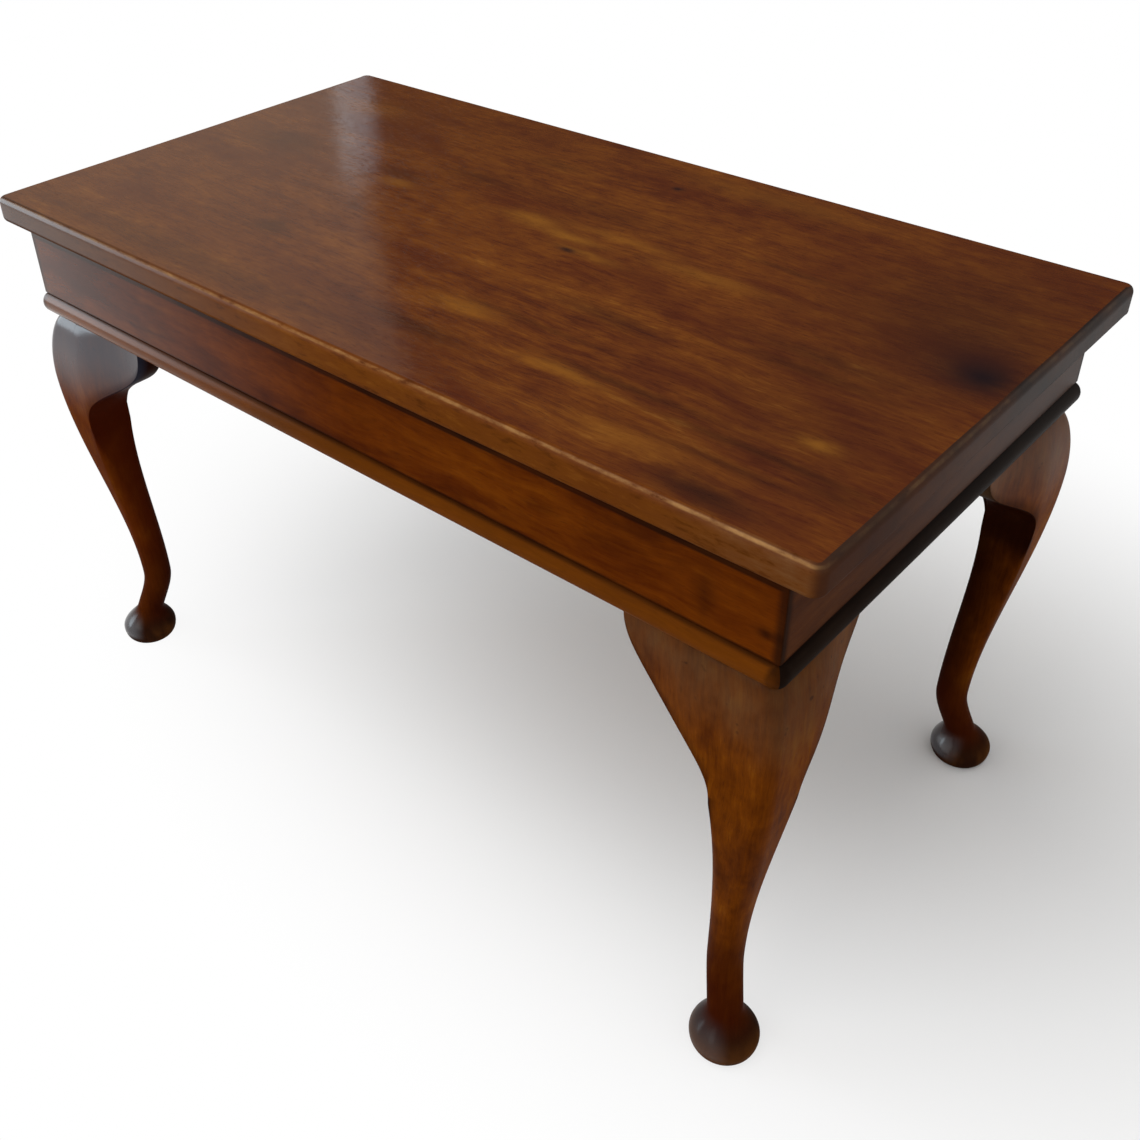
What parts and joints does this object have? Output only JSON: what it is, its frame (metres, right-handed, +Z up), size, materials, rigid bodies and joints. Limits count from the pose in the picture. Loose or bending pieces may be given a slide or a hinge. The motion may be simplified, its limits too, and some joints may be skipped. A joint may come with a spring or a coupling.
{
  "type": "storage coffee table",
  "caption": "Low rectangular wooden coffee table: a lift-up lid hinged at the back covers a shallow storage box on cabriole legs with pad feet and bracket ears.",
  "frame": {"origin": "on the floor under the middle of the table, lid and back feet included", "axes": "+X along the table's length, +Y to the hinged back, +Z up"},
  "size_m": [0.835, 0.458, 0.5],
  "materials": {
    "lid_mahogany": "polished",
    "box_mahogany": "polished",
    "leg_mahogany": "polished",
    "bare_hardwood": "planed, unpolished",
    "panel_board": "sealed, matt",
    "brass": "dulled"
  },
  "bodies": {
    "base": {"bottom_panel": "panel_board", "hinge_box_leaf_left": "brass", "hinge_pin_left": "brass", "hinge_box_leaf_right": "brass", "hinge_pin_right": "brass", "box_front": "box_mahogany", "frame_front": "box_mahogany", "box_back": "box_mahogany", "frame_back": "box_mahogany", "box_left": "box_mahogany", "frame_left": "box_mahogany", "box_right": "box_mahogany", "frame_right": "box_mahogany", "leg_front_left": "leg_mahogany", "ear_front_left_long": "leg_mahogany", "glue_block_front_left_long": "bare_hardwood", "ear_front_left_end": "leg_mahogany", "glue_block_front_left_end": "bare_hardwood", "leg_front_right": "leg_mahogany", "ear_front_right_long": "leg_mahogany", "glue_block_front_right_long": "bare_hardwood", "ear_front_right_end": "leg_mahogany", "glue_block_front_right_end": "bare_hardwood", "leg_back_left": "leg_mahogany", "ear_back_left_long": "leg_mahogany", "glue_block_back_left_long": "bare_hardwood", "ear_back_left_end": "leg_mahogany", "glue_block_back_left_end": "bare_hardwood", "leg_back_right": "leg_mahogany", "ear_back_right_long": "leg_mahogany", "glue_block_back_right_long": "bare_hardwood", "ear_back_right_end": "leg_mahogany", "glue_block_back_right_end": "bare_hardwood"},
    "lid": {"lid_panel": "lid_mahogany", "lid_batten_left": "bare_hardwood", "lid_batten_right": "bare_hardwood", "hinge_lid_leaf_left": "brass", "hinge_lid_leaf_right": "brass"}
  },
  "joints": [
    {"name": "lid_hinge", "type": "hinge", "parent": "base", "child": "lid", "pos_m": [0, 0.22174, 0.476], "axis": [-1, 0, 0], "range_deg": [0, 100]}
  ]
}
